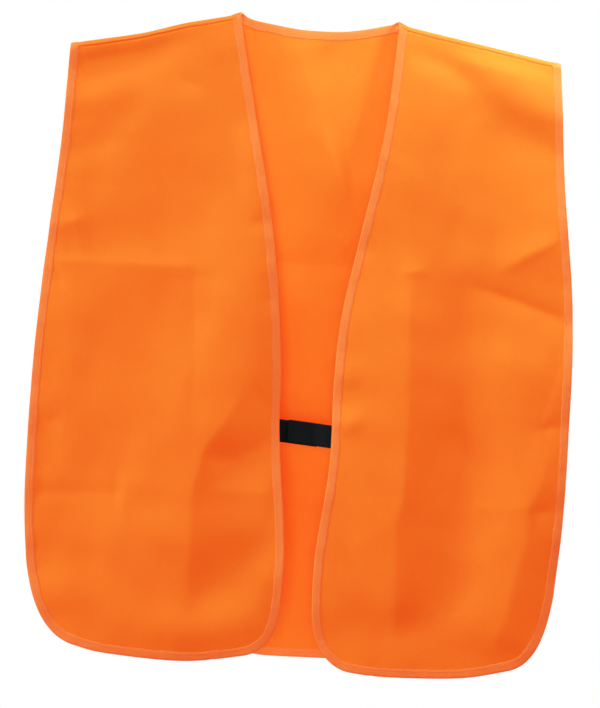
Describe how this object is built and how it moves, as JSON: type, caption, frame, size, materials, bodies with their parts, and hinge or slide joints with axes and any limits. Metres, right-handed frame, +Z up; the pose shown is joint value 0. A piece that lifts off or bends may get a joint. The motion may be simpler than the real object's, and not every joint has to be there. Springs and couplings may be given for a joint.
{
  "type": "blaze orange safety vest",
  "caption": "Blaze orange sleeveless tabard vest with bound edges, an open front, rounded hems and a short black hook and loop chest strap.",
  "frame": {"origin": "midway between the two points where the shoulder seams meet the neck opening", "axes": "+Z up along the hanging vest, -Y out of its front, +X towards the wearer's left"},
  "size_m": [0.6009, 0.0902, 0.7172],
  "materials": {
    "orange_cloth": "plain-woven polyester, soft sheen",
    "orange_binding": "folded woven binding tape, matte",
    "orange_elastic": "ribbed woven elastic, matte",
    "orange_thread": "polyester sewing thread",
    "black_webbing": "brushed woven tape, matte",
    "black_thread": "polyester sewing thread",
    "loop_pile": "fuzzy loop pile",
    "hook_face": "moulded nylon hooks"
  },
  "bodies": {
    "vest_body": {"back_panel": "orange_cloth", "right_side_panel": "orange_cloth", "left_side_panel": "orange_cloth", "right_shoulder_seam": "orange_cloth", "left_shoulder_seam": "orange_cloth", "back_neck_binding": "orange_binding", "back_edge_binding": "orange_binding", "right_side_binding": "orange_binding", "left_side_binding": "orange_binding", "right_side_strap": "orange_elastic", "left_side_strap": "orange_elastic", "right_side_strap_front_tack": "orange_thread", "right_side_strap_back_tack": "orange_thread", "left_side_strap_front_tack": "orange_thread", "left_side_strap_back_tack": "orange_thread"},
    "right_front": {"right_front_panel": "orange_cloth", "right_front_binding": "orange_binding", "hook_tab_webbing": "black_webbing", "hook_tab_hooks": "hook_face", "hook_tab_stitching": "black_thread"},
    "left_front": {"left_front_panel": "orange_cloth", "left_front_binding": "orange_binding", "closure_strap_anchor": "black_webbing", "closure_strap_stitching": "black_thread"},
    "closure_strap": {"closure_strap_webbing": "black_webbing", "closure_strap_loop": "loop_pile"}
  },
  "joints": [
    {"name": "right_front_fold", "type": "hinge", "parent": "vest_body", "child": "right_front", "pos_m": [-0.104, -0.00662, -0.00312], "axis": [-0.1704, -0.0541, -0.9839], "range_deg": [0, 150]},
    {"name": "left_front_fold", "type": "hinge", "parent": "vest_body", "child": "left_front", "pos_m": [0.104, -0.00662, -0.00312], "axis": [-0.1704, 0.0541, 0.9839], "range_deg": [0, 150]},
    {"name": "strap_peel", "type": "hinge", "parent": "left_front", "child": "closure_strap", "pos_m": [0.0312, -0.02811, -0.45742], "axis": [0.0941, 0.0547, 0.9941], "range_deg": [0, 160], "deforming": ["closure_strap_webbing", "closure_strap_loop"]}
  ]
}
